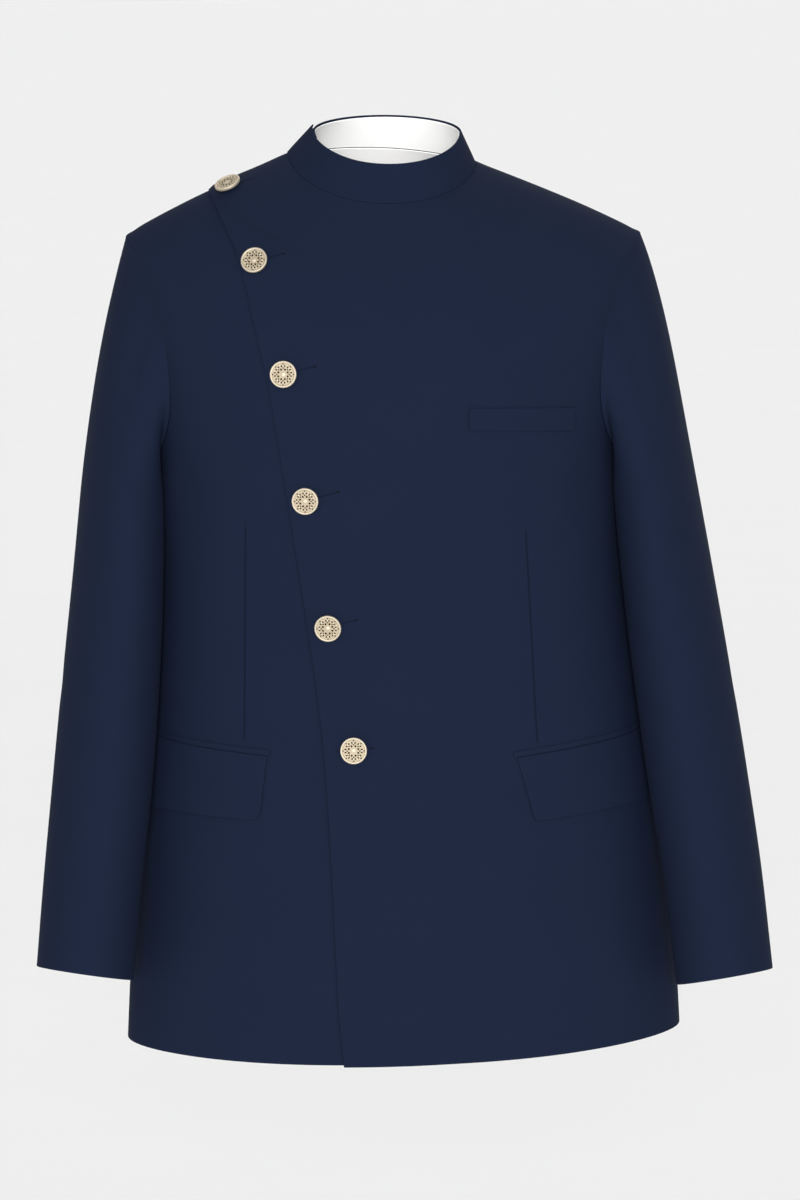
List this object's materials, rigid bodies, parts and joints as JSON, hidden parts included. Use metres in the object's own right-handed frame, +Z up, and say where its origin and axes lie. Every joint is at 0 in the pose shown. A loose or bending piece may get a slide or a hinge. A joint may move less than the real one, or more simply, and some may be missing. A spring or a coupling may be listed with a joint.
{
  "type": "jodhpuri jacket",
  "caption": "Fitted jacket with a stand collar and a slanting front that buttons up to the shoulder, long sleeves, flap pockets and a breast welt, filled out as if worn.",
  "frame": {"origin": "middle of the neck, level with the inner ends of the shoulder seams", "axes": "+Z up, -Y the way the front faces, +X the right of someone who looks at the front, which is the wearer's left"},
  "size_m": [0.6258, 0.2533, 0.8021],
  "materials": {
    "suiting": "smooth fine wool suiting in dark navy",
    "lining": "smooth white lining cloth",
    "button": "pale gilt, polished rim"
  },
  "bodies": {
    "root": {"front_overlap": "suiting", "front_underlap": "suiting", "back_left": "suiting", "back_right": "suiting", "top_sleeve_left": "suiting", "top_sleeve_right": "suiting", "under_sleeve_left": "suiting", "under_sleeve_right": "suiting", "collar": "suiting", "flap_left": "suiting", "flap_right": "suiting", "jet_left": "suiting", "jet_right": "suiting", "breast_welt": "suiting", "collar_lining": "lining", "back_neck_lining": "lining", "button_1": "button", "button_2": "button", "button_3": "button", "button_4": "button", "button_5": "button", "button_6": "button"}
  },
  "joints": []
}
